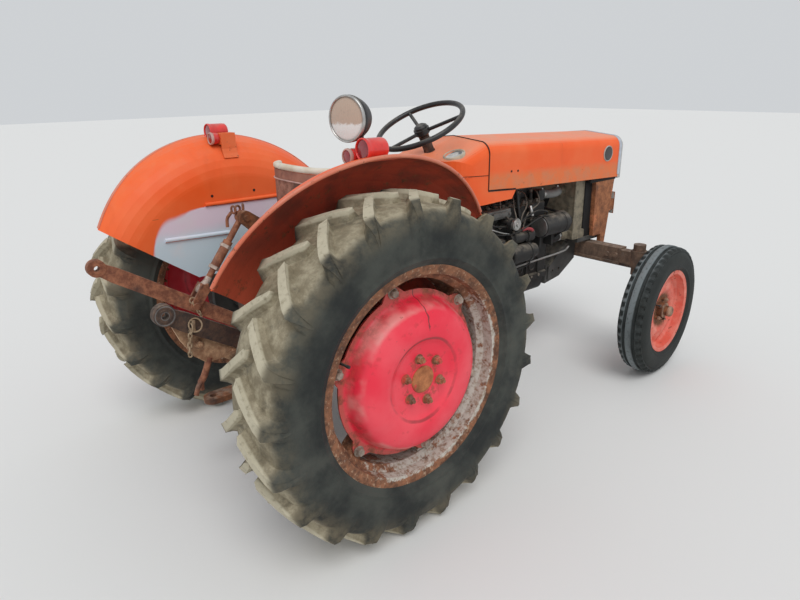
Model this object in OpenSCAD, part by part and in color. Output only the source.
// Small two-wheel-drive farm tractor of the 1960s, in millimetres.
// +X is forward, +Y is the tractor's left, +Z is up, and z = 0 is the ground.
// Each module is drawn with x measured from the rear axle, and at_axle() moves it to its place.

/* [Wheels] */
// Radius of a rear tyre over its lugs
rear_tyre_r = 596; // [588:1:606]
// Width of a rear tyre
rear_tyre_w = 286; // [278:1:292]
// Radius of a rear rim over its flange
rear_rim_r = 381; // [374:1:386]
// Width of a rear rim over its flanges
rear_rim_w = 254; // [246:1:260]
// Distance from the tractor's middle to the middle of a rear tyre
rear_half_track = 655; // [650:1:680]
// Lugs on each side of a rear tyre
rear_lug_count = 21; // [18:1:22]
// Height of a rear tyre's lugs
rear_lug_h = 34; // [26:1:36]
// Radius of a front tyre
front_tyre_r = 345; // [338:1:352]
// Width of a front tyre
front_tyre_w = 150; // [140:1:156]
// Radius of a front rim over its flange
front_rim_r = 222; // [216:1:226]
// Width of a front rim over its flanges
front_rim_w = 124; // [118:1:130]
// Distance from the tractor's middle to the middle of a front tyre
front_half_track = 640; // [634:1:650]
// Distance from the rear axle to the front axle
wheelbase = 1834; // [1820:1:1850]

/* [Front axle and steering] */
// Height of the middle of the front axle's beam
beam_z = 598; // [590:1:606]
// Height of the front axle's beam
beam_h = 88; // [76:1:92]
// Thickness of the front axle's beam, front to back
beam_t = 70; // [60:1:76]
// Distance from the tractor's middle to a kingpin
kingpin_y = 505; // [500:1:510]
// Radius of a kingpin
kingpin_r = 21; // [18:0.5:24]
// Angle by which the front wheels stand turned to the left
steer_rest = 4.6; // [0:0.1:8]
// Length of a track rod arm
track_arm = 140; // [130:1:150]
// Length of the drag link's arm on the left kingpin
drag_arm = 115; // [105:1:120]
// Length of the steering drop arm
drop_arm_len = 140; // [130:1:150]
// Radius of the steering wheel over its rim
wheel_r = 212; // [190:1:220]
// Thickness of the steering wheel's rim
wheel_rim_d = 24; // [20:1:28]

/* [Body] */
// Half width of the hood
hood_half_w = 230; // [225:1:240]
// Height of the hood's bottom edge at its rear
hood_bottom = 1030; // [1022:1:1036]
// Height of the hood's top at its rear
hood_top = 1270; // [1260:1:1280]
// Length of the hood
hood_len = 1086; // [1070:1:1100]
// How far the hood reaches in front of the front axle
nose_reach = 170; // [160:1:180]
// Angle by which the hood drops to its front
hood_droop = 2; // [1:0.1:2.5]
// Length of the engine block
engine_len = 532; // [520:1:540]
// Thickness of the sheet of hood, cowl and fenders
sheet_t = 4; // [3:0.5:5]
// Radius of a fender's lip round the rear axle
fender_r = 703; // [694:1:710]
// Distance from the tractor's middle to a fender's inner panel
fender_in_y = 442; // [438:1:450]
// Distance from the tractor's middle to the lip at the top of a fender
fender_out_y = 630; // [615:1:640]
// Width of the seat
seat_w = 400; // [370:1:420]

/* [Linkage] */
// Distance from the tractor's middle to a lower link's ball
ball_y = 340; // [334:1:346]
// Radius of the bore of a lower link's ball
ball_bore_r = 11.2; // [11:0.1:11.5]
// Width of a lower link's ball
ball_w = 35; // [33:1:38]
// Thickness of a lower link
link_t = 16; // [14:1:18]
// Depth of a lower link
link_h = 60; // [50:1:64]
// Length of a lift arm between its centres
lift_arm_len = 275; // [268:1:280]
// Radius of the power take-off shaft
pto_r = 17.5; // [17:0.5:18]
// Radius of the drawbar's pin hole
drawbar_hole_r = 13; // [11:1:14]

/* [Hidden] */
$fn = 96;
fit = 0.05;      // running fit, radial
pin_fit = 0.09;  // running fit of a linkage pin, radial
seat_gap = 0.3;  // gap between pieces that turn past each other
eye_r = 34;      // outer radius of a lower link's eye
crown_half = 13; // half width of a front tyre's middle rib

rear_z = rear_tyre_r;
front_z = front_tyre_r;

// The lower link at rest: front pivot and ball, in x and z from the rear axle on the ground
link_pivot = [60, rear_z - 188];
link_ball = [-646, rear_z + 264];
link_pivot_y = 250;
link_angle = atan2(link_ball[1] - link_pivot[1], link_pivot[0] - link_ball[0]);
link_len = norm(link_ball - link_pivot);
lift_hole = 434; // along the link from its pivot
lift_pin = [link_pivot[0] - lift_hole * cos(link_angle), link_pivot[1] + lift_hole * sin(link_angle)];
function link_y(s) = link_pivot_y + (ball_y - link_pivot_y) * s / link_len;

lift_shaft = [162, rear_z + 210];
lift_angle = 141;
arm_end = [lift_shaft[0] + lift_arm_len * cos(lift_angle), lift_shaft[1] + lift_arm_len * sin(lift_angle)];
arm_y = 292;

// The tractor's middle lies half way between its rearmost and foremost points
kingpin_to_wheel = front_half_track - kingpin_y;
rear_reach = link_ball[0] - eye_r;
front_reach = wheelbase + kingpin_to_wheel * sin(steer_rest)
    + front_tyre_r * cos(steer_rest) + crown_half * sin(steer_rest);
rear_axle_x = -(rear_reach + front_reach) / 2;

beam_top = beam_z + beam_h / 2;
beam_bottom = beam_z - beam_h / 2;
track_z = beam_bottom - 22;
drag_z = beam_top + 34;

// Hood, engine and radiator follow the front axle
hood_front_x = wheelbase + nose_reach;
hood_rear_x = hood_front_x - hood_len;
engine_front_x = wheelbase - 344;
engine_rear_x = engine_front_x - engine_len;
radiator_x = engine_front_x + 172;
bolster_front_x = wheelbase + 92;
function hood_edge(x) = hood_bottom - (x - hood_rear_x) * tan(hood_droop);

// Engine, by height: floor of the sump, pan rail, crankshaft, deck, joint of the rocker cover, cover's top
sump_z = 414;
pan_z = 512;
crank_z = 652;
deck_z = 834;
head_z = 918;
cover_z = 1000;
block_half = 150;
deck_half = 134;
timing_t = 36;

// Steering box, drop arm and wheel
drop_shaft = [hood_rear_x - 36, drag_z + drop_arm_len];
drop_y = 262;
drop_rest = asin(drag_arm * sin(steer_rest) / drop_arm_len);
wheel_hub = [hood_rear_x - 210, hood_top + 50];
column_lean = 27;
column_r = 24;

module at_axle() translate([rear_axle_x, 0, 0]) children();

// A cylinder along Y, X or Z that starts at a point
module along_y(p, r, len) translate(p) rotate([-90, 0, 0]) cylinder(r = r, h = len);
module along_x(p, r, len) translate(p) rotate([0, 90, 0]) cylinder(r = r, h = len);
module along_z(p, r, len) translate(p) cylinder(r = r, h = len);

// A straight round bar between two points
module bar(a, b, r) {
    v = b - a;
    len = norm(v);
    translate(a)
        rotate([0, acos(v[2] / len), atan2(v[1], v[0])])
            cylinder(r = r, h = len);
}

// A block between two corners
module block(a, b) translate(a) cube(b - a);

// An extrusion along X of an outline drawn in [y, z]
module sweep_x(x0, x1) translate([x0, 0, 0]) rotate([90, 0, 90]) linear_extrude(x1 - x0) children();
// An extrusion along Y of an outline drawn in [x, z]
module sweep_y(y0, y1) translate([0, y1, 0]) rotate([90, 0, 0]) linear_extrude(y1 - y0) children();

// A turned piece along "x", "y" or "z" from its [radius, distance] steps
module turned(p, dir, steps) translate(p)
    rotate(dir == "x" ? [0, 90, 0] : dir == "y" ? [-90, 0, 0] : [0, 0, 0])
        rotate_extrude() polygon(concat([[0, steps[0][1]]], steps, [[0, steps[len(steps) - 1][1]]]));

// Points of an arc
function arc(c, r, a0, a1, n) = [for (i = [0 : n]) c + r * [cos(a0 + (a1 - a0) * i / n),
    sin(a0 + (a1 - a0) * i / n)]];

// A rectangle with round corners, as an outline
function round_rect(w0, w1, h0, h1, r, n = 6) = concat(
    arc([w1 - r, h1 - r], r, 0, 90, n), arc([w0 + r, h1 - r], r, 90, 180, n),
    arc([w0 + r, h0 + r], r, 180, 270, n), arc([w1 - r, h0 + r], r, 270, 360, n));

// Wheels: each is drawn with its axle along Y, its outer side at +Y and its middle at the origin
module spin_y() rotate([-90, 0, 0]) rotate_extrude() children();

// Half of a tyre's section, from the crown down to the bead, as [radius, y]
function tyre_side(crown, rim, w, n, drop) = let (mid = rim + (crown - rim) * 0.44)
    [for (a = [90 : -11 : -75]) [
        mid + (a > 0 ? crown - mid : mid - rim + drop) * sign(sin(a)) * pow(abs(sin(a)), 2 / n),
        w / 2 * pow(max(cos(a), 0), 2 / n)]];

function mirrored(p) = [for (i = [len(p) - 1 : -1 : 0]) [p[i][0], -p[i][1]]];

// A rim's outer line from one flange to the other, as [radius, y]
function rim_half(r, w, flange, well, t) = [
    [r, w / 2], [r, w / 2 - t], [r - flange, w / 2 - t - 3], [r - flange - 4, w / 2 - t - 34],
    [r - flange - well, w / 2 - t - 50]];
function rim_inner(r, w, flange, well, t) = [
    [r - t, w / 2], [r - flange - t, w / 2 - t], [r - flange - 4 - t, w / 2 - t - 37],
    [r - flange - well - t, w / 2 - t - 54]];

module rim_fill(r, w, flange, well, t) polygon(concat([[0, w / 2]],
    rim_half(r, w, flange, well, t), mirrored(rim_half(r, w, flange, well, t)), [[0, -w / 2]]));

module rim_section(r, w, flange, well, t) polygon(concat(
    rim_half(r, w, flange, well, t), mirrored(rim_half(r, w, flange, well, t)),
    [for (p = rim_inner(r, w, flange, well, t)) [p[0], -p[1]]],
    [for (i = [3 : -1 : 0]) rim_inner(r, w, flange, well, t)[i]]));

rear_flange = 25;
rear_well = 24;
rear_rim_t = 7;
front_flange = 17;
front_well = 14;
front_rim_t = 4;

module rear_carcass() {
    side = tyre_side(rear_tyre_r - rear_lug_h, rear_rim_r, rear_tyre_w, 3.1, 26);
    difference() {
        polygon(concat(mirrored(side), side));
        rim_fill(rear_rim_r, rear_rim_w, rear_flange, rear_well, rear_rim_t);
    }
}

// One lug is four sections from near the middle, out over the shoulder and down the sidewall.
// Columns: y as a share of the tyre's half width, drop of its top below the tyre's radius,
// drop of its base, turn behind its inner end, half width of its top and of its base.
lug_sections = [
    [-0.06, 0, rear_lug_h + 6, 0, 13, 20],
    [0.44, 3, rear_lug_h + 8, 6.2, 14, 22],
    [0.88, 14, rear_lug_h + 36, 10.8, 17, 27],
    [1.0, 64, rear_lug_h + 84, 12, 15, 26]];

function lug_point(s, side, turn, top, edge) = let (
    r = rear_tyre_r - (top ? s[1] : s[2]),
    half = (top ? s[4] : s[5]) / rear_tyre_r * 180 / PI,
    a = turn - s[3] + edge * half)
    [r * sin(a), side * (s[0] - (top ? 0 : 0.03)) * rear_tyre_w / 2, r * cos(a)];

module lug(side, turn) {
    last = 4 * (len(lug_sections) - 1);
    points = [for (s = lug_sections) for (c = [[true, 1], [true, -1], [false, -1], [false, 1]])
        lug_point(s, side, turn, c[0], c[1])];
    walls = [for (k = [0 : 4 : last - 4]) for (i = [0 : 3]) let (j = (i + 1) % 4)
        each [[k + i, k + j, k + 4 + j], [k + i, k + 4 + j, k + 4 + i]]];
    faces = concat([[0, 3, 2], [0, 2, 1], [last, last + 1, last + 2], [last, last + 2, last + 3]], walls);
    polyhedron(points, side < 0 ? [for (f = faces) [f[2], f[1], f[0]]] : faces);
}

module rear_tyre() {
    pitch = 360 / rear_lug_count;
    union() {
        spin_y() rear_carcass();
        for (i = [0 : rear_lug_count - 1]) {
            lug(1, 180 + i * pitch);
            lug(-1, 180 + (i + 0.5) * pitch);
        }
    }
}

module front_tyre() {
    ribs = [[-44, 12], [0, crown_half], [44, 12]];
    side = tyre_side(front_tyre_r - 11, front_rim_r, front_tyre_w, 2.6, 18);
    spin_y() difference() {
        union() {
            polygon(concat(mirrored(side), side));
            for (b = ribs) {
                top = front_tyre_r - (b[0] == 0 ? 0 : 5);
                polygon([[front_tyre_r - 24, b[0] - b[1] - 2], [top, b[0] - b[1]],
                    [top, b[0] + b[1]], [front_tyre_r - 24, b[0] + b[1] + 2]]);
            }
        }
        rim_fill(front_rim_r, front_rim_w, front_flange, front_well, front_rim_t);
    }
}

// The rear disc is bolted to six lugs inside the rim
disc_bolt_r = 303;
disc_bolt_y = 60;
disc_bolt_turn = 17;
lug_half = 32;

module rear_rim() {
    well_r = rear_rim_r - rear_flange - rear_well;
    lug_in = disc_bolt_r - 26;
    union() {
        spin_y() rim_section(rear_rim_r, rear_rim_w, rear_flange, rear_well, rear_rim_t);
        for (k = [0 : 5]) rotate([0, 60 * k + disc_bolt_turn, 0]) {
            block([lug_in, disc_bolt_y - 14, -lug_half], [well_r - 3, disc_bolt_y, lug_half]);
            for (z = [-lug_half, lug_half - 8])
                block([lug_in, disc_bolt_y - 46, z], [well_r - 3, disc_bolt_y - 13, z + 8]);
        }
    }
}

disc_t = 8;
disc_crown = 148;
disc_flange_r = 288;
hub_r = 58;
hub_cap_r = 116;
rear_shaft_r = 30;
trumpet_end_y = 528;

module rear_disc() {
    face = disc_crown - 18;
    hub_in = -(rear_half_track - trumpet_end_y - seat_gap);
    union() {
        spin_y() polygon([[disc_flange_r, disc_bolt_y], [disc_flange_r, disc_bolt_y + disc_t],
            [272, disc_bolt_y + disc_t + 1], [261, disc_bolt_y + 18], [255, disc_bolt_y + 44],
            [244, disc_bolt_y + 64], [226, disc_bolt_y + 77], [186, disc_crown - 3], [128, disc_crown],
            [hub_cap_r, disc_crown - 5], [hub_cap_r - 7, face], [0, face],
            [0, face - disc_t], [hub_cap_r - 7, face - disc_t], [hub_cap_r + 4, disc_crown - 13],
            [132, disc_crown - disc_t], [184, disc_crown - disc_t - 3], [220, disc_bolt_y + 69],
            [236, disc_bolt_y + 57], [246, disc_bolt_y + 40], [253, disc_bolt_y + 14], [264, disc_bolt_y]]);
        // The flange is scalloped: it reaches out at its six bolts
        for (k = [0 : 5]) rotate([0, 60 * k + disc_bolt_turn, 0]) {
            sweep_y(disc_bolt_y + 0.5, disc_bolt_y + disc_t + 0.5) polygon(concat([[268, -60]],
                arc([disc_bolt_r - 20, 0], 34, -64, 64, 10), [[268, 60]]));
            turned([disc_bolt_r, disc_bolt_y + disc_t - 1, 0], "y", [[20, 0], [20, 4], [15, 4.5], [15,
                15], [12, 17]]);
        }
        for (k = [0 : 5]) rotate([0, 60 * k + disc_bolt_turn - 30, 0])
            turned([72, face - 1, 0], "y", [[17, 0], [17, 3], [12, 3.5], [12, 16], [7, 17], [7, 24]]);
        turned([0, face - 1, 0], "y", [[44, 0], [40, 10], [37, 12], [37, 19], [30, 22]]);
        along_y([0, disc_crown - 60, 0], 92, 60 - 18 - disc_t + 1);
        along_y([0, hub_in, 0], hub_r, disc_crown - 40 - hub_in);
        along_y([0, hub_in - 90, 0], rear_shaft_r, 100);
    }
}

front_hub_r = 40;
stub_r = 16;
stub_root = 46; // from the kingpin out to the face that the hub runs against

module front_rim() {
    hub_in = -(kingpin_to_wheel - stub_root - seat_gap);
    well_r = front_rim_r - front_flange - front_well;
    difference() {
        union() {
            spin_y() rim_section(front_rim_r, front_rim_w, front_flange, front_well, front_rim_t);
            spin_y() polygon([[front_hub_r - 4, 12], [70, 12], [96, 20], [118, 30], [146, 24],
                [well_r - 2, 6],
                [well_r - 2, -2], [144, 16], [118, 23], [98, 13], [72, 4], [front_hub_r - 4, 4]]);
            along_y([0, hub_in, 0], front_hub_r, 40 - hub_in);
            along_y([0, hub_in, 0], 56, 14);
            along_y([0, 38, 0], 27, 26);
            for (k = [0 : 4]) rotate([0, 72 * k, 0]) along_y([57, 11, 0], 9, 16);
        }
        along_y([0, hub_in - 1, 0], stub_r + fit, 44 - hub_in);
    }
}

// A left knuckle, drawn round its own kingpin with its wheel straight
module knuckle() {
    difference() {
        union() {
            along_z([0, 0, front_z - 4], kingpin_r, beam_top + 26 - front_z + 4);
            along_z([0, 0, beam_bottom - 44], 34, 44 - seat_gap);
            along_z([0, 0, beam_top + seat_gap], 32, 34);
            along_z([0, 0, front_z - 34], 31, 110);
            along_y([0, 0, front_z], 34, stub_root);
            along_y([0, 0, front_z], stub_r, kingpin_to_wheel + 28);
            // Arm for the track rod
            sweep_z(track_z - 12, track_z + 10) polygon([[0, -22], [track_arm, -13], [track_arm, 13],
                [0, 22]]);
            along_z([track_arm, 0, track_z - 12], 19, 22);
        }
        along_z([track_arm, 0, track_z - 13], 8 + pin_fit - fit, 24);
    }
}

module sweep_z(z0, z1) translate([0, 0, z0]) linear_extrude(z1 - z0) children();

// The left knuckle also has the drag link's arm on top
module drag_arm_piece() {
    base = beam_top + seat_gap;
    difference() {
        union() {
            sweep_z(base + 8, base + 28) polygon([[-20, 0], [-12, -drag_arm], [12, -drag_arm], [20, 0]]);
            along_z([0, -drag_arm, base + 8], 18, 20);
        }
        along_z([0, -drag_arm, base + 7], 8 + pin_fit - fit, 22);
    }
}

module steered(side) translate([wheelbase, side * kingpin_y, 0]) rotate([0, 0, steer_rest]) children();

module knuckle_left() color("saddlebrown") at_axle() steered(1) {
    union() {
        knuckle();
        drag_arm_piece();
    }
}
module knuckle_right() color("saddlebrown") at_axle() steered(-1) mirror([0, 1, 0]) knuckle();

module front_place(side) at_axle() steered(side)
    translate([0, side * kingpin_to_wheel, front_z]) scale_side(side) children();
module scale_side(side) {
    if (side > 0) children();
    else mirror([0, 1, 0]) children();
}
module rear_place(side) at_axle() translate([0, side * rear_half_track,
    rear_z]) scale_side(side) children();

// Track rod between the two forward arms
function arm_tip(side, len) = [wheelbase + len * cos(steer_rest), side * kingpin_y + len * sin(steer_rest)];
module track_rod() color("dimgray") at_axle() {
    l = arm_tip(1, track_arm);
    r = arm_tip(-1, track_arm);
    z = track_z - 12 - seat_gap;
    difference() {
        union() {
            for (p = [l, r]) {
                along_z([p[0], p[1], z - 26], 17, 26);
                along_z([p[0], p[1], z - 1], 8 - fit, 30);
            }
            along_y([l[0], r[1], z - 14], 12, l[1] - r[1]);
            for (s = [[l, -70], [r, 20]]) along_y([s[0][0], s[0][1] + s[1], z - 14], 13.5, 50);
        }
    }
}

// Drag link from the drop arm's ball to the left kingpin's arm
drag_front = [wheelbase + drag_arm * sin(steer_rest), kingpin_y - drag_arm * cos(steer_rest)];
drop_ball = [drop_shaft[0] + drop_arm_len * sin(drop_rest), drop_shaft[1] - drop_arm_len * cos(drop_rest)];
drag_eye_z = beam_top + 28 + 2 * seat_gap;
drag_rear = [drop_ball[0], drop_y + 44, drop_ball[1]];
module drag_link() color("dimgray") at_axle() {
    f = [drag_front[0], drag_front[1], drag_eye_z + 14];
    union() {
        along_z([f[0], f[1], drag_eye_z], 17, 27);
        along_z([f[0], f[1], drag_eye_z - 25], 8 - fit, 26);
        bar(drag_rear, f, 12);
        along_y([drag_rear[0], drag_rear[1] - 16, drag_rear[2]], 18, 32);
        along_y([drag_rear[0], drop_y + 21.5, drag_rear[2]], 7, 20);
    }
}

module drop_arm() color("dimgray") at_axle() translate([drop_shaft[0], 0, drop_shaft[1]]) rotate([0,
    -drop_rest, 0]) {
    union() {
        sweep_y(drop_y, drop_y + 18) polygon([[-24, 0], [-15, -drop_arm_len], [15, -drop_arm_len], [24,
            0]]);
        along_y([0, drop_y - 8, 0], 28, 34);
        along_y([0, drop_y - 60, 0], 14, 70);
        along_y([0, drop_y - 10, -drop_arm_len], 17, 30);
    }
}

module on_column(s) translate([wheel_hub[0], 0, wheel_hub[1]]) rotate([0, -column_lean, 0])
    translate([0, 0, -s]) children();

bell_top = drop_shaft[1] - 40;
module steering_column() color("dimgray") at_axle() difference() {
    x = drop_shaft[0];
    z = drop_shaft[1];
    union() {
        on_column(482) cylinder(r = column_r, h = 440);
        on_column(470) cylinder(r = column_r + 9, h = 60);
        // Steering box on the bell housing
        sweep_y(-70, 110) polygon([[x - 52, bell_top], [x - 52, z + 34], [x - 30, z + 66], [x + 26, z + 84],
            [x + 48, z + 70], [x + 48, bell_top]]);
        turned([x, 108, z], "y", [[39, 0], [39, 14], [34, 16], [34, drop_y - 20 - 108]]);
        turned([x, -84, z + 6], "y", [[30, 0], [38, 4], [38, 16]]);
    }
    on_column(110) cylinder(r = 13 + fit, h = 110);
    along_y([x, drop_y - 70, z], 14 + fit, 71);
}

module steering_wheel() color("black") at_axle()
    on_column(0) {
    rim = wheel_r - wheel_rim_d / 2;
    union() {
        translate([0, 0, 8]) rotate_extrude() translate([rim, 0]) circle(r = wheel_rim_d / 2, $fn = 32);
        for (k = [0 : 2]) rotate([0, 0, 120 * k + 60]) bar([20, 0, -22], [rim, 0, 6], 8);
        rotate_extrude() polygon([[0, -40], [26, -40], [36, -30], [36, -8], [30, -6], [30, 2], [20, 9],
            [0, 9]]);
        translate([0, 0, -105]) cylinder(r = 13, h = 70);
    }
}

// Engine, gearbox and axle
bell_flange = 25;
axle_r = 86;
pto_z = rear_z - 50;
gear_floor = rear_z - 208;
gear_top = rear_z + 172;

module gearbox() color("dimgray") at_axle() {
    bell_x = engine_rear_x - 390;
    union() {
        sweep_x(-150, 215) polygon(round_rect(-205, 205, gear_floor - 14, gear_top, 40));
        sweep_x(214, bell_x + 1) polygon(round_rect(-150, 150, gear_floor, gear_top, 30));
        sweep_x(bell_x, engine_rear_x - bell_flange + 1) polygon(round_rect(-175, 175, gear_floor - 14,
            bell_top, 70));
        sweep_x(engine_rear_x - bell_flange, engine_rear_x) polygon(round_rect(-192, 192,
            gear_floor - 28, bell_top + 14, 76));
        // Ribs and covers of the castings
        for (x = [330, 440]) sweep_x(x, x + 16) polygon(round_rect(-160, 160, gear_floor - 8,
            gear_top - 14, 34));
        for (s = [1, -1]) scale_side(s)
            turned([bell_x + 130, 174, 560], "y", [[58, 0], [58, 9], [30, 12]]);
        turned([-176, 0, pto_z], "x", [[48, 0], [74, 8], [74, 28]]);
        along_x([-252, 0, pto_z], pto_r, 90);
        for (z = [pto_z + 90, pto_z + 148]) turned([-164, 0, z], "x", [[12, 0], [26, 6], [26, 16]]);
    }
}

module axle_trumpets() color("dimgray") at_axle() for (s = [1, -1]) scale_side(s) difference() {
    pad_z = rear_z + axle_r - 26;
    union() {
        rotate([-90, 0, 0]) translate([0, -rear_z, 0]) rotate_extrude() polygon([
            [0, 205], [136, 205], [136, 222], [axle_r, 236], [74, 400], [74, fender_in_y + 3],
            [150, fender_in_y + 3], [158, fender_in_y + 10], [158, 500], [150, 508], [80, 512],
            [72, trumpet_end_y], [0, trumpet_end_y]]);
        // Pad for the fender's bracket and lug for the lower link's pivot
        block([-70, 330, pad_z], [70, fender_in_y - sheet_t, pad_z + 46]);
        along_y([link_pivot[0], 205, link_pivot[1]], 13, 72);
        sweep_y(205, 230) polygon(concat(arc(link_pivot, 28, 180, 360, 12),
            [[link_pivot[0] + 28, rear_z - 60], [link_pivot[0] - 28, rear_z - 60]]));
    }
    along_y([0, trumpet_end_y - 110, rear_z], rear_shaft_r + fit, 111);
}

// The top link's bracket at the rear of the lift housing, with a row of two pin holes
top_link_x = -176;
top_link_z = gear_top + 44;
top_link_pitch = 56;
top_link_hole_r = 9.65;
lift_top = gear_top + 108;

module lift_housing() color("dimgray") at_axle() difference() {
    union() {
        sweep_x(-130, 330) polygon(round_rect(-150, 150, gear_top, lift_top, 34));
        turned([lift_shaft[0], -205, lift_shaft[1]], "y", [[44, 0], [44, 12], [38, 14], [38, 396], [44,
            398], [44, 410]]);
        for (y = [-40, 24]) sweep_y(y, y + 16) polygon(concat([[-129, gear_top + 2], [-129, lift_top - 10]],
            arc([top_link_x, top_link_z + top_link_pitch], 24, 90, 180, 6),
            arc([top_link_x, top_link_z], 24, 180, 250, 6)));
        turned([230, -104, lift_top - 1], "z", [[34, 0], [34, 12], [20, 16], [20, 26]]);
    }
    along_y([lift_shaft[0], -206, lift_shaft[1]], 26 + fit, 412);
    for (k = [0, 1]) along_y([top_link_x, -60, top_link_z + k * top_link_pitch], top_link_hole_r, 120);
}

lift_eye_r = 30;
module lift_arms() color("saddlebrown") at_axle() difference() {
    union() {
        along_y([lift_shaft[0], -arm_y - 26, lift_shaft[1]], 26, 2 * arm_y + 52);
        for (s = [1, -1]) scale_side(s) {
            translate([lift_shaft[0], 0, lift_shaft[1]]) rotate([0, -lift_angle, 0])
                sweep_y(arm_y - 40, arm_y - 14) polygon(concat(
                    arc([0, 0], 46, 90, 270, 12), arc([lift_arm_len, 0], lift_eye_r, -90, 90, 12)));
            along_y([lift_shaft[0], 207, lift_shaft[1]], 41, arm_y - 20 - 207);
            along_y([arm_end[0], arm_y - 48, arm_end[1]], 12, 80);
        }
    }
}

// A left lift rod, from the lift arm's pin down to the lower link
fork_gap = 6.5;
module lift_rod(side) {
    top = [arm_end[0], arm_y + 4, arm_end[1]];
    pin_y = link_y(lift_hole);
    low = [lift_pin[0], pin_y, lift_pin[1]];
    lean = low - top;
    knee = top + lean * 0.80;
    half = link_t / 2 + fork_gap;
    scale_side(side) difference() {
        union() {
            bar(top, knee, 13);
            bar(top + lean * 0.28, top + lean * 0.6, 20);
            along_y([top[0], arm_y - 13, top[2]], 27, 30);
            // Fork that straddles the lower link
            for (e = [-1, 1]) hull_plate(low, knee, pin_y + e * (half + 6), 6);
            translate(knee) rotate([0, 90 - atan2(-lean[2], -lean[0]) + 180, 0])
                translate([-22, -half - 12, -10]) cube([44, 2 * half + 24, 20]);
            for (e = [-1, 1]) along_y([low[0], pin_y + e * (half + 16) - 5, low[2]], 14, 10);
        }
        along_y([top[0], arm_y - 14, top[2]], 12 + pin_fit, 40);
    }
}

// A flat cheek between two points in the plane y
module hull_plate(a, b, y, half_t) sweep_y(y - half_t, y + half_t) {
    dir = atan2(b[2] - a[2], b[0] - a[0]);
    polygon(concat(arc([a[0], a[2]], 21, dir + 90, dir + 270, 12), arc([b[0], b[2]], 21, dir - 90,
        dir + 90, 2)));
}

module lower_link(side) scale_side(side) {
    splay = atan2(ball_y - link_pivot_y, link_len);
    difference() {
        translate([link_pivot[0], link_pivot_y, link_pivot[1]]) rotate([0, link_angle, 0]) difference() {
            union() {
                rotate([0, 0, 180 - splay]) translate([0, -link_t / 2, 0]) {
                    reach = norm([link_len, ball_y - link_pivot_y]);
                    rotate([90, 0, 0]) translate([0, 0, -link_t]) linear_extrude(link_t) polygon(concat(
                        arc([0, 0], link_h / 2 + 2, 60, 300, 12), [[60, -link_h / 2], [reach - 70,
                            -link_h / 2]],
                        arc([reach, 0], eye_r - 10, -70, 70, 8), [[reach - 70, link_h / 2], [60,
                            link_h / 2]]));
                }
                translate([0, -19, 0]) along_y([0, 0, 0], 30, 38);
                translate([-link_len, ball_y - link_pivot_y - 15, 0]) along_y([0, 0, 0], eye_r, 30);
                translate([-link_len, ball_y - link_pivot_y - ball_w / 2, 0]) along_y([0, 0, 0], 20,
                    ball_w);
            }
            translate([0, -30, 0]) along_y([0, 0, 0], 13 + fit, 60);
            translate([-link_len, ball_y - link_pivot_y - 30, 0]) along_y([0, 0, 0], ball_bore_r, 60);
        }
    }
}

// Engine: the section of the block from the pan rail up to the deck
bore_pitch = 98;
bores = 4;
first_bore = engine_rear_x + 120;

module engine_block() color("darkslategray") at_axle() union() {
    shoulder = crank_z + 76;
    half_section = [[block_half + 14, pan_z], [block_half + 14, pan_z + 14], [block_half, pan_z + 20],
        [block_half, shoulder], [deck_half, shoulder + 34], [deck_half, deck_z - 18],
        [deck_half + 8, deck_z - 12], [deck_half + 8, deck_z]];
    sweep_x(engine_rear_x, engine_front_x) polygon(concat(half_section,
        [for (i = [len(half_section) - 1 : -1 : 0]) [-half_section[i][0], half_section[i][1]]]));
    sweep_x(engine_rear_x, engine_rear_x + 28) polygon(round_rect(-182, 182, pan_z, 800, 60));
    // Cylinders, ribs between them and core plugs below
    for (i = [0 : bores - 1]) let (x = first_bore + i * bore_pitch) {
        for (s = [1, -1]) {
            along_z([x, s * (deck_half - 56), shoulder], 62, deck_z - 19 - shoulder);
            scale_side(s) turned([x, block_half - 2, pan_z + 58], "y", [[24, 0], [24, 5], [19, 6], [17,
                3]]);
        }
        for (s = [1, -1]) scale_side(s)
            block([x + bore_pitch / 2 - 5, block_half - 2, pan_z + 16], [x + bore_pitch / 2 + 5,
                block_half + 7, pan_z + 100]);
    }
    // Timing cover
    sweep_x(engine_front_x, engine_front_x + timing_t) polygon(concat(arc([0, crank_z], 122, 200, 340, 12),
        arc([40, crank_z + 96], 84, 0, 120, 10), arc([-50, crank_z + 84], 66, 80, 180, 8)));
    turned([engine_front_x + timing_t - 1, 0, crank_z], "x", [[70, 0], [58, 8]]);
}

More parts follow.
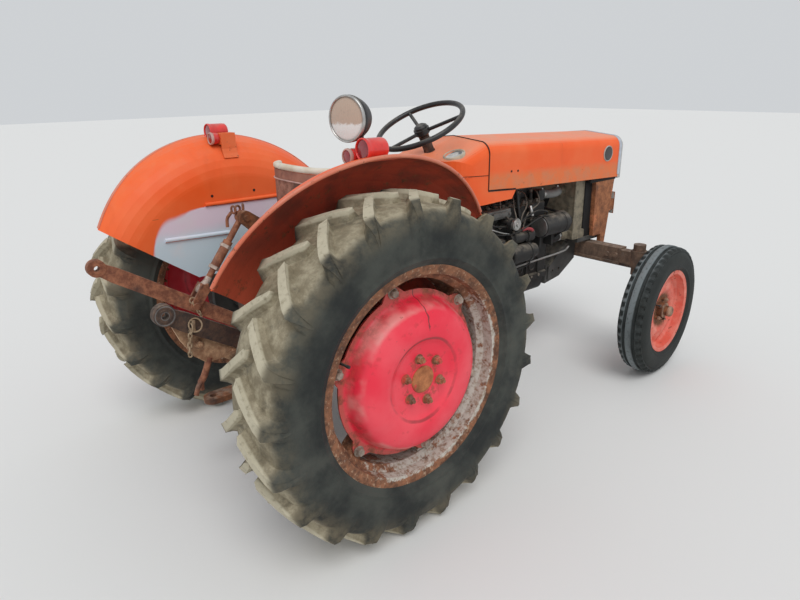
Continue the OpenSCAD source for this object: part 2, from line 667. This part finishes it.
module cylinder_head() color("darkslategray") at_axle() {
    x0 = engine_rear_x + 20;
    x1 = engine_front_x - 10;
    union() {
        sweep_x(x0, x1) polygon([[-deck_half + 4, deck_z], [-deck_half + 4, head_z - 16], [-108, head_z],
            [108, head_z], [deck_half - 4, head_z - 16], [deck_half - 4, deck_z]]);
        // Rocker cover with its rim, two domed nuts and the filler cap
        sweep_x(x0 + 22, x1 - 42) polygon(round_rect(-92, 92, head_z - 4, head_z + 9, 4));
        sweep_x(x0 + 30, x1 - 50) polygon(round_rect(-82, 82, head_z - 6, cover_z, 34));
        for (x = [x0 + 110, x0 + 290]) turned([x, 0, cover_z - 1], "z", [[16, 0], [16, 5], [11, 6],
            [11, 15], [6, 20]]);
        turned([x0 + 370, 0, cover_z - 1], "z", [[24, 0], [24, 10], [34, 12], [34, 24], [28, 28]]);
        // Ports and injectors on the right, exhaust ports on the left
        for (i = [0 : bores - 1]) let (x = first_bore + i * bore_pitch) {
            turned([x - 12, -deck_half - 16, deck_z + 44], "y", [[27, 0], [27, 10], [22, 14], [22, 24]]);
            turned([x + 24, -100, head_z - 6], "z", [[16, 0], [16, 12], [10, 15], [10, 44], [6, 46],
                [6, 58]]);
        }
        // Thermostat housing
        block([x1 - 50, -deck_half + 6, head_z - 4], [x1, -66, head_z + 48]);
    }
}

module sump() color("dimgray") at_axle() union() {
    sweep_x(engine_rear_x, engine_front_x) polygon(concat(arc([90, sump_z + 44], 44, 270, 360, 6),
        [[140, pan_z], [-140, pan_z]], arc([-90, sump_z + 44], 44, 180, 270, 6)));
    block([engine_rear_x, -162, pan_z - 14], [engine_front_x, 162, pan_z]);
    for (x = [engine_rear_x + 90 : 110 : engine_front_x - 60])
        block([x, -84, sump_z - 6], [x + 10, 84, sump_z + 6]);
    turned([engine_rear_x + 255, 0, sump_z - 12], "z", [[14, 0], [14, 8], [22, 9], [22, 20]]);
}

// Cast bolster that carries the front axle and the radiator
pivot_r = 24;
bracket_bolt_x = engine_front_x + 100;
bracket_bolt_pitch = 60;
bracket_bolt_z = 500;
module front_bolster() color("dimgray") at_axle() difference() {
    x0 = engine_front_x + timing_t;
    seat = beam_top + 4;
    union() {
        sweep_y(-130, 130) polygon([[x0, sump_z + 22], [x0, pan_z + 30], [x0 + 64, pan_z + 36],
            [wheelbase - 126, beam_top + 34], [bolster_front_x, beam_top + 34], [bolster_front_x, seat],
            [wheelbase + 70, seat], [wheelbase + 70, beam_z - 52], [wheelbase + 42, beam_z - 52],
            [wheelbase + 42, seat], [wheelbase - 42, seat], [wheelbase - 42, beam_z - 60],
            [wheelbase - 100, beam_z - 96], [wheelbase - 178, sump_z + 42]]);
        block([wheelbase - 126, -200, beam_top + 10], [bolster_front_x, 200, beam_top + 34]);
        for (s = [1, -1]) scale_side(s) sweep_y(129, 141) polygon([[x0 + 16, sump_z + 44], [x0 + 16,
            pan_z + 16],
            [wheelbase - 150, beam_top], [wheelbase - 130, beam_top], [wheelbase - 130, beam_top - 22],
            [x0 + 40, pan_z - 12], [x0 + 40, sump_z + 44]]);
    }
    along_x([wheelbase - 80, 0, beam_z], pivot_r + fit, 160);
    // Bolt holes for a front loader's or a weight's bracket
    for (k = [0, 1]) along_y([bracket_bolt_x + k * bracket_bolt_pitch, -142, bracket_bolt_z], 8.5, 284);
}

module front_axle() color("saddlebrown") at_axle() difference() {
    sleeve = kingpin_y - 96;
    union() {
        // Box beam with a flange along its foot, and the inner beams that slide in it
        sweep_y(-sleeve, sleeve) polygon([[wheelbase - beam_t / 2, beam_bottom + 14],
            [wheelbase - beam_t / 2, beam_top],
            [wheelbase + beam_t / 2, beam_top], [wheelbase + beam_t / 2, beam_bottom + 14],
            [wheelbase + beam_t / 2 + 5, beam_bottom + 12], [wheelbase + beam_t / 2 + 5, beam_bottom],
            [wheelbase - beam_t / 2 - 5, beam_bottom], [wheelbase - beam_t / 2 - 5, beam_bottom + 12]]);
        block([wheelbase - beam_t / 2 + 7, -kingpin_y, beam_bottom + 8],
            [wheelbase + beam_t / 2 - 7, kingpin_y, beam_top - 10]);
        for (s = [1, -1]) {
            along_z([wheelbase, s * kingpin_y, beam_bottom], 42, beam_h);
            scale_side(s) for (y = [sleeve - 70, sleeve - 20])
                along_x([wheelbase - beam_t / 2 - 12, y, beam_z + 4], 13, beam_t + 24);
        }
        along_x([wheelbase - 76, 0, beam_z], pivot_r, 152);
    }
    for (s = [1, -1]) along_z([wheelbase, s * kingpin_y, beam_bottom - 1], kingpin_r + fit, beam_h + 2);
}

// Radiator and its two necks, where the hoses end
core_half = 190;
radiator_t = 90;
neck_x = radiator_x - 60;
upper_hose = [-100, 942];
lower_hose = [-135, 700];
upper_hose_r = 21;
lower_hose_r = 24;
module radiator() color("darkkhaki") at_axle() {
    x1 = radiator_x + radiator_t;
    foot = beam_top + 34;
    tank_z = 1056;
    union() {
        block([radiator_x, -core_half, foot], [x1, core_half, tank_z + 60]);
        for (z = [[tank_z, tank_z + 74], [foot, foot + 50]])
            sweep_y(-core_half - 10, core_half + 10) polygon(round_rect(radiator_x - 10, x1 + 10, z[0],
                z[1], 12, 3));
        for (y = [-core_half - 10, core_half + 4]) block([radiator_x - 8, y, foot + 40],
            [radiator_x + 2, y + 6, tank_z + 10]);
        for (z = [foot + 110 : 60 : tank_z - 40])
            block([radiator_x - 3, -core_half, z], [radiator_x + 1, core_half, z + 6]);
        turned([radiator_x + 45, 0, tank_z + 73], "z", [[30, 0], [30, 12], [38, 14], [38, 24], [20, 28]]);
        turned([neck_x, upper_hose[0], upper_hose[1]], "x", [[upper_hose_r, 0], [upper_hose_r, 40],
            [29, 48], [29, 61]]);
        turned([neck_x, lower_hose[0], lower_hose[1]], "x", [[lower_hose_r, 0], [lower_hose_r, 40],
            [34, 48], [34, 61]]);
    }
}

fan_z = 800;
module fan() color("gray") at_axle() {
    front = engine_front_x + timing_t;
    fan_x = neck_x + 4;
    union() {
        turned([front, 0, fan_z], "x", [[40, 0], [40, 10], [26, 14], [26, fan_x - front - 40], [62,
            fan_x - front - 38],
            [54, fan_x - front - 30], [62, fan_x - front - 22], [24, fan_x - front - 20], [24,
                fan_x - front + 14]]);
        for (k = [0 : 3]) translate([fan_x, 0, fan_z]) rotate([90 * k + 20, 0, 0]) translate([-4, -34, 18])
            rotate([0, 0, 24]) cube([4, 68, 122]);
        turned([front + 8, 0, crank_z], "x", [[72, 0], [64, 9], [72, 18], [30, 20], [30, 32]]);
    }
}

// What hangs on the engine's sides, each turned piece with its place, direction and steps
generator = [1334, -212, 802];
generator_len = 208;
starter = [1112, -206, 686];
pump = [1140, -192, 768];
module engine_ancillaries() color("black") at_axle() {
    pieces = [
        [generator, "x", [[46, 0], [57, 5], [57, 34], [54, 36], [54, 168], [57, 170], [57, 200], [44,
            generator_len],
            [12, generator_len + 1], [12, generator_len + 8], [40, generator_len + 9], [32,
                generator_len + 17],
            [40, generator_len + 25], [14, generator_len + 26], [14, generator_len + 34]]],
        [starter, "x", [[40, 0], [46, 5], [46, 132], [50, 134], [50, 150], [36, 152], [36, 196]]],
        [starter + [20, 6, 0], "x", [[12, -34], [12, -6], [20, -4], [20, 0]]],
        [pump, "x", [[18, -12], [22, 0], [31, 6], [31, 74], [26, 76], [26, 104], [34, 106], [34, 152],
            [22, 158]]],
        [[pump[0] + 36, pump[1], pump[2] + 24], "z", [[20, 0], [20, 18], [14, 20], [14, 42]]],
        // Oil filler cap, fuel filters and the oil filter on the left
        [[1117, -226, deck_z + 18], "y", [[16, 0], [27, 4], [27, 22], [15, 24], [15, 230 - deck_half]]],
        [[1030, -204, 640], "z", [[14, 0], [34, 10], [41, 16], [41, 128], [34, 132], [34, 140]]],
        [[1294, 204, 600], "z", [[20, 0], [42, 12], [42, 136], [46, 138], [46, 150]]]];
    union() {
        for (p = pieces) turned(p[0], p[1], p[2]);
        // Brackets and flanges on the block's side
        for (x = [30, 130]) block([generator[0] + x, -200, crank_z + 30], [generator[0] + x + 16,
            -block_half, generator[2] - 20]);
        block([starter[0] + 130, -190, starter[2] - 60], [starter[0] + 152, -block_half, starter[2] + 44]);
        block([starter[0] + 20, -170, starter[2] - 30], [starter[0] + 130, -block_half, starter[2] + 30]);
        block([pump[0] + 104, -192, crank_z + 30], [pump[0] + 126, -block_half, pump[2] + 30]);
        sweep_y(-206, -block_half) polygon(round_rect(1004, 1056, 694, 726, 10));
        sweep_y(block_half, 206) polygon(round_rect(1266, 1322, 690, 726, 10));
    }
}

// Hoses from the thermostat and the water pump to the radiator's necks
module coolant_hoses() color("gray") at_axle() union() {
    along_x([engine_front_x - 10, upper_hose[0], upper_hose[1]], upper_hose_r,
        neck_x - engine_front_x + 10);
    along_x([engine_front_x + timing_t, lower_hose[0], lower_hose[1]], lower_hose_r,
        neck_x - engine_front_x - timing_t);
}

// Exhaust manifold on the left, its down pipe and the silencer under the footplate
pipe_r = 24;
pipe_bend = [1130, 214, 472];
silencer_x = 370;
silencer_len = 330;
silencer = [236, 350];
module exhaust() color("saddlebrown") at_axle() {
    silencer_end = [silencer_x + silencer_len - 10, silencer[0], silencer[1]];
    union() {
        sweep_y(deck_half - 4, 178) polygon(round_rect(first_bore - 60,
            first_bore + 3 * bore_pitch + 40, 850, 898, 16));
        for (i = [0 : bores - 1]) turned([first_bore + i * bore_pitch - 12, 176, 874], "y", [[20, 0],
            [14, 6]]);
        bar([1190, 184, 868], pipe_bend, pipe_r);
        translate(pipe_bend) sphere(r = pipe_r + 1.5);
        bar(pipe_bend, silencer_end, pipe_r);
        turned([silencer_x, silencer[0], silencer[1]], "x", [[30, 0], [52, 12], [52,
            silencer_len - 12], [30, silencer_len]]);
        bar([silencer_x + 10, silencer[0], silencer[1]], [silencer_x - 120, silencer[0], silencer[1]], 21);
    }
}

// Sheet metal
hood_shoulder = 58;
function hood_section(t, low) = let (w = hood_half_w - t, h = hood_top - t, r = hood_shoulder) concat(
    [[w, low]], arc([w - r, h - r - 16], r, 0, 78, 8), [[0, h]],
    [for (i = [8 : -1 : 0]) let (a = 78 * i / 8) [-(w - r) - r * cos(a), h - r - 16 + r * sin(a)]],
    [[-w, low]]);

// The hood's section swept along X and turned about the seam between cowl and hood
module hood_sweep(x0, x1, t, low, turn) translate([hood_rear_x, 0, hood_top]) rotate([0, turn, 0])
    translate([-hood_rear_x, 0, -hood_top]) sweep_x(x0, x1) polygon(hood_section(t, low));

module hood() color("orangered") at_axle() difference() {
    intersection() {
        hood_sweep(hood_rear_x - 60, hood_front_x + 60, 0, hood_bottom, hood_droop);
        block([hood_rear_x, -300, 900], [hood_front_x, 300, 1400]);
    }
    hood_sweep(hood_rear_x - 80, hood_front_x + 80, sheet_t, hood_bottom - 90, hood_droop);
}

grille_t = 26;
lamp_y = 142;
lamp_z = 1118;
lamp_r = 66;
module grille() color("silver") at_axle() difference() {
    x = hood_front_x;
    low = hood_edge(x) - 8;
    union() {
        difference() {
            intersection() {
                hood_sweep(hood_rear_x, x + 80, 0, hood_bottom - 10, hood_droop);
                block([x + seat_gap, -300, low], [x + grille_t, 300, 1400]);
            }
            intersection() {
                hood_sweep(hood_rear_x, x + 90, 20, hood_bottom - 60, hood_droop);
                block([x - 1, -300, low + 20], [x + grille_t + 1, 300, 1400]);
            }
        }
        for (z = [low + 40 : 22 : hood_top - 90])
            block([x + 8, -hood_half_w + 18, z], [x + 14, hood_half_w - 18, z + 5]);
        for (y = [-70, 0, 70]) block([x + 4, y - 4, low + 10], [x + 16, y + 4, hood_top - 80]);
        for (s = [1, -1]) along_x([x + 6, s * lamp_y, lamp_z], lamp_r + 10, grille_t - 2);
    }
    for (s = [1, -1]) along_x([x - 5, s * lamp_y, lamp_z], lamp_r + seat_gap, 50);
}

module headlamps() color("white") at_axle() for (s = [1, -1])
    translate([hood_front_x + grille_t - 10, s * lamp_y, lamp_z]) rotate([0, -90, 0])
        rotate_extrude() polygon([[0, -16], [50, -10], [62, -2], [lamp_r, 0], [lamp_r, 12], [50, 30],
            [24, 62], [0, 66]]);

// Bent side columns under the hood's nose, a cross bar and a blank plate
column_y = 200;
column_t = 22;
column_foot = beam_top + 34;
plate_x = hood_front_x + 22;
module grille_columns() color("sienna") at_axle() {
    x = wheelbase;
    top = hood_edge(x + 150) - 7;
    union() {
        for (s = [1, -1]) scale_side(s) {
            sweep_y(column_y, column_y + column_t) polygon([[x - 14, column_foot], [x - 24, top],
                [x + 156, top - 4], [x + 108, beam_top - 24], [x + 66, beam_top - 24], [x + 66,
                    column_foot]]);
            sweep_y(column_y - 46, column_y + 1) polygon([[x - 14, column_foot + 40], [x - 23, top - 2],
                [x - 17, top - 2], [x - 8, column_foot + 40]]);
        }
        block([x + 98, -column_y - 10, 672], [x + 112, column_y + 10, 690]);
        for (s = [1, -1]) scale_side(s) sweep_y(column_y - 1, column_y + 8) polygon([[x + 110, 790],
            [x + 110, 850],
            [plate_x, 862], [plate_x, 800]]);
        block([plate_x, -column_y - 12, 776], [plate_x + 4, column_y + 12, 900]);
    }
}

// Cowl: its deck falls to the rear from the hood, its rear corners are round in plan
deck_fall = 20;
cowl_rear_x = hood_rear_x - 212;
cowl_corner = 110;
cowl_foot = hood_bottom - 56;
module cowl_form(t) intersection() {
    hood_sweep(cowl_rear_x - 150, hood_rear_x + 40, t, hood_bottom - 260, -deck_fall);
    translate([0, 0, cowl_foot - 20]) linear_extrude(420) polygon(concat([[hood_rear_x - seat_gap + t,
        -hood_half_w + t]],
        [[hood_rear_x - seat_gap + t, hood_half_w - t]],
        arc([cowl_rear_x + cowl_corner, hood_half_w - cowl_corner], cowl_corner - t, 90, 180, 8),
        arc([cowl_rear_x + cowl_corner, -hood_half_w + cowl_corner], cowl_corner - t, 180, 270, 8)));
}
module dash_cowl() color("orangered") at_axle() difference() {
    x = hood_rear_x;
    union() {
        intersection() {
            difference() {
                cowl_form(0);
                cowl_form(sheet_t);
            }
            sweep_y(-300, 300) polygon([[x, cowl_foot], [x, 1400], [cowl_rear_x - 9, 1400],
                [cowl_rear_x - 9, cowl_foot + 150], [cowl_rear_x + 60, cowl_foot]]);
        }
        // Skirt that runs on forward under the hood's edge
        for (s = [1, -1]) scale_side(s) sweep_y(hood_half_w - sheet_t, hood_half_w) polygon([[x - 20,
            cowl_foot],
            [x + 170, cowl_foot + 6], [x + 197, hood_edge(x + 197) - seat_gap], [x - seat_gap,
                hood_bottom - seat_gap],
            [x - 20, hood_bottom - seat_gap]]);
    }
    on_column(300) cylinder(r = column_r + 3, h = 400);
}

// Fenders
fender_bend = 170;
module fender_section() {
    r = fender_r;
    c = [r - fender_bend - 6, fender_in_y + fender_bend];
    polygon(concat([[150, fender_in_y - sheet_t], [r - fender_bend, fender_in_y - sheet_t]],
        arc(c, fender_bend + sheet_t, -84, 0, 8),
        [[r - 2 + sheet_t, fender_out_y + 4], [r - 14, fender_out_y + 4], [r - 14, fender_out_y],
        [r - 2, fender_out_y - 4]],
        [for (i = [8 : -1 : 0]) let (a = -84 + 84 * i / 8) c + fender_bend * [cos(a), sin(a)]],
        [[r - fender_bend, fender_in_y], [150, fender_in_y]]));
}

// Everything under the outer face of a fender's sheet
module fender_fill() {
    c = [fender_r - fender_bend - 6, fender_in_y + fender_bend];
    polygon(concat([[0, fender_in_y - sheet_t], [c[0], fender_in_y - sheet_t]],
        arc(c, fender_bend + sheet_t, -84, 0, 8), [[fender_r - 2 + sheet_t, 700], [0, 700]]));
}

module fender(side) scale_side(side) {
    bow = 1618;
    sill = rear_z + 115;
    face = fender_in_y - sheet_t;
    union() {
        intersection() {
            translate([0, 0, rear_z]) rotate([-90, 0, 0]) rotate_extrude() fender_section();
            sweep_y(400, 660) polygon([[-640, rear_z + 448], [-590, rear_z + 384], [-212, sill], [330,
                sill],
                [440, sill - 7], [540, rear_z + 462], [720, 1520], [-720, 1520]]);
            along_z([0, fender_out_y - bow, 400], bow, 1120);
        }
        // Pressed ridges on the inner panel
        for (r = [[[-147, 1022], [221, 1021]], [[-338, 896], [-46, 887]]])
            bar([r[0][0], face, r[0][1]], [r[1][0], face, r[1][1]], 9);
    }
}

// Tail lamps with their bracket on each fender: a large one and a small one below it
tail_lamp = [-46, 560, rear_z + fender_r + 15];
tail_lamp_r = 36;
small_lamp = tail_lamp + [-16, -58, -24];
module on_fender() difference() {
    children();
    translate([0, 0, rear_z]) rotate([-90, 0, 0]) rotate_extrude() fender_fill();
}
module rear_lamps() color("firebrick") at_axle() for (s = [1, -1]) scale_side(s) on_fender() union() {
    turned(tail_lamp, "x", [[tail_lamp_r - 4, 5], [tail_lamp_r - 4, 0], [tail_lamp_r, 0], [tail_lamp_r, 10],
        [tail_lamp_r - 2, 12], [tail_lamp_r - 2, 104], [tail_lamp_r - 8, 114]]);
    turned(small_lamp, "x", [[22, 3], [22, 0], [26, 0], [26, 30], [18, 36]]);
    block([small_lamp[0] + 20, small_lamp[1] + 4, small_lamp[2] - 60],
        [small_lamp[0] + 66, tail_lamp[1] + 6, small_lamp[2] + 6]);
}

// Round worklight on a stem on the right fender
worklight = [-36, -484, 1404];
worklight_turn = 14;
module worklight() color("black") at_axle() {
    stem = [worklight[0] + 46, worklight[1] + 2];
    union() {
        translate(worklight) rotate([0, -90, worklight_turn]) rotate_extrude()
            polygon([[0, 20], [52, 15], [60, 18], [70, 14], [72, 8], [72, -4], [60, -38], [38, -68],
                [14, -80], [0, -82]]);
        scale_side(-1) on_fender() union() {
            along_z([stem[0], -stem[1], rear_z + 560], 9, worklight[2] - rear_z - 600);
            along_z([stem[0], -stem[1], rear_z + 560], 22, 92);
        }
    }
}

// Seat: a pan with a round back whose wall falls to the front, and a roll along its top
seat_x = 26;
seat_depth = 420;
seat_floor = 968;
seat_rim = 1188;
function seat_plan(t) = let (w = seat_w / 2 - t, n = 3.2) concat(
    [for (a = [-90 : 10 : 90]) [seat_x + t + 110 * (1 - pow(cos(a), 2 / n)),
        w * sign(sin(a)) * pow(abs(sin(a)), 2 / n)]],
    [for (a = [90 : -15 : -90]) [seat_x + seat_depth - t - 80 + 80 * pow(cos(a), 2 / n),
        w * sign(sin(a)) * pow(abs(sin(a)), 2 / n)]]);

module seat_pan() color("indianred") at_axle() {
    x1 = seat_x + seat_depth;
    union() {
        intersection() {
            difference() {
                translate([0, 0, seat_floor]) linear_extrude(300) polygon(seat_plan(0));
                translate([0, 0, seat_floor + sheet_t]) linear_extrude(300) polygon(seat_plan(sheet_t));
            }
            sweep_y(-seat_w, seat_w) polygon(concat([[seat_x - 9, seat_floor - 9], [x1 + 9, seat_floor - 9],
                [x1 + 9, seat_floor + 34], [x1 - 130, seat_floor + 40]],
                arc([seat_x + 60, seat_floor + 40], 110, 12, 60, 6), [[seat_x + 80, seat_rim],
                    [seat_x - 9, seat_rim]]));
        }
        // Spring bracket down to the lift housing
        sweep_y(-50, 50) polygon([[150, lift_top], [150, seat_floor + 1], [330, seat_floor + 1], [330,
            seat_floor - 12],
            [162, seat_floor - 12], [162, lift_top + 14], [262, lift_top + 14], [262, lift_top]]);
    }
}

module seat_back() color("bisque") at_axle() intersection() {
    difference() {
        translate([0, 0, seat_rim + seat_gap]) linear_extrude(26) polygon(seat_plan(-9));
        translate([0, 0, seat_rim - 9]) linear_extrude(60) polygon(seat_plan(22));
    }
    block([seat_x - 40, -seat_w, seat_rim - 9], [seat_x + 78, seat_w, seat_rim + 60]);
}

plate_t = 6;
footplate_z = 490;
module footplates() color("dimgray") at_axle() for (s = [1, -1]) scale_side(s) {
    union() {
        block([260, 175, footplate_z], [760, 490, footplate_z + plate_t]);
        for (y = [176, 484]) block([260, y, footplate_z - 22], [760, y + 5, footplate_z + 1]);
        sweep_y(175, 300) polygon([[566, footplate_z - 34], [624, footplate_z - 34], [640,
            footplate_z + 1], [556, footplate_z + 1]]);
        // Ribs of the tread
        for (x = [290 : 42 : 740]) block([x, 200, footplate_z + plate_t - 1], [x + 12, 466,
            footplate_z + plate_t + 3]);
    }
}

pedal_x = 790;
module pedals_and_levers() color("dimgray") at_axle() {
    // Columns: x and y of the foot, x, y and z of the knob, knob radius
    levers = [[500, 30, 470, 60, 1016, 20], [540, -40, 540, -80, 966, 17]];
    union() {
        for (l = levers) {
            turned([l[0], l[1], gear_top], "z", [[26, 0], [26, 6], [17, 10], [14, 34]]);
            bar([l[0], l[1], gear_top + 26], [l[2], l[3], l[4]], 7);
            translate([l[2], l[3], l[4]]) sphere(r = l[5]);
        }
        for (y = [-270, -330, 290]) {
            along_y([pedal_x, y > 0 ? 175 : y, 584], 10, abs(y) - 175);
            bar([pedal_x, y, 584], [pedal_x - 38, y, 662], 9);
            block([pedal_x - 68, y - 32, 654], [pedal_x - 26, y + 32, 666]);
        }
    }
}

drawbar_z = gear_floor - 46;
drawbar_t = 22;
module drawbar() color("saddlebrown") at_axle() difference() {
    union() {
        block([-390, -36, drawbar_z], [60, 36, drawbar_z + drawbar_t]);
        along_z([-390, 0, drawbar_z], 36, drawbar_t);
        block([-60, -120, drawbar_z + drawbar_t - 1], [20, 120, gear_floor - 14]);
    }
    along_z([-390, 0, drawbar_z - 10], drawbar_hole_r, 50);
}

gearbox();
axle_trumpets();
lift_housing();
engine_block();
cylinder_head();
sump();
front_bolster();
front_axle();
radiator();
fan();
engine_ancillaries();
coolant_hoses();
exhaust();
hood();
grille();
headlamps();
grille_columns();
dash_cowl();
steering_column();
steering_wheel();
drop_arm();
drag_link();
track_rod();
knuckle_left();
knuckle_right();
color("tomato") front_place(1) front_rim();  // front_rim_left
color("tomato") front_place(-1) front_rim();  // front_rim_right
color("dimgray") front_place(1) front_tyre();  // front_tyre_left
color("dimgray") front_place(-1) front_tyre();  // front_tyre_right
color("dimgray") rear_place(1) rear_tyre();  // rear_tyre_left
color("dimgray") rear_place(-1) rear_tyre();  // rear_tyre_right
color("peru") rear_place(1) rear_rim();  // rear_rim_left
color("peru") rear_place(-1) rear_rim();  // rear_rim_right
color("crimson") rear_place(1) rear_disc();  // rear_disc_left
color("crimson") rear_place(-1) rear_disc();  // rear_disc_right
color("coral") at_axle() fender(1);  // fender_left
color("coral") at_axle() fender(-1);  // fender_right
rear_lamps();
worklight();
seat_pan();
seat_back();
footplates();
pedals_and_levers();
drawbar();
lift_arms();
color("saddlebrown") at_axle() lift_rod(1);  // lift_rod_left
color("saddlebrown") at_axle() lift_rod(-1);  // lift_rod_right
color("sienna") at_axle() lower_link(1);  // lower_link_left
color("sienna") at_axle() lower_link(-1);  // lower_link_right
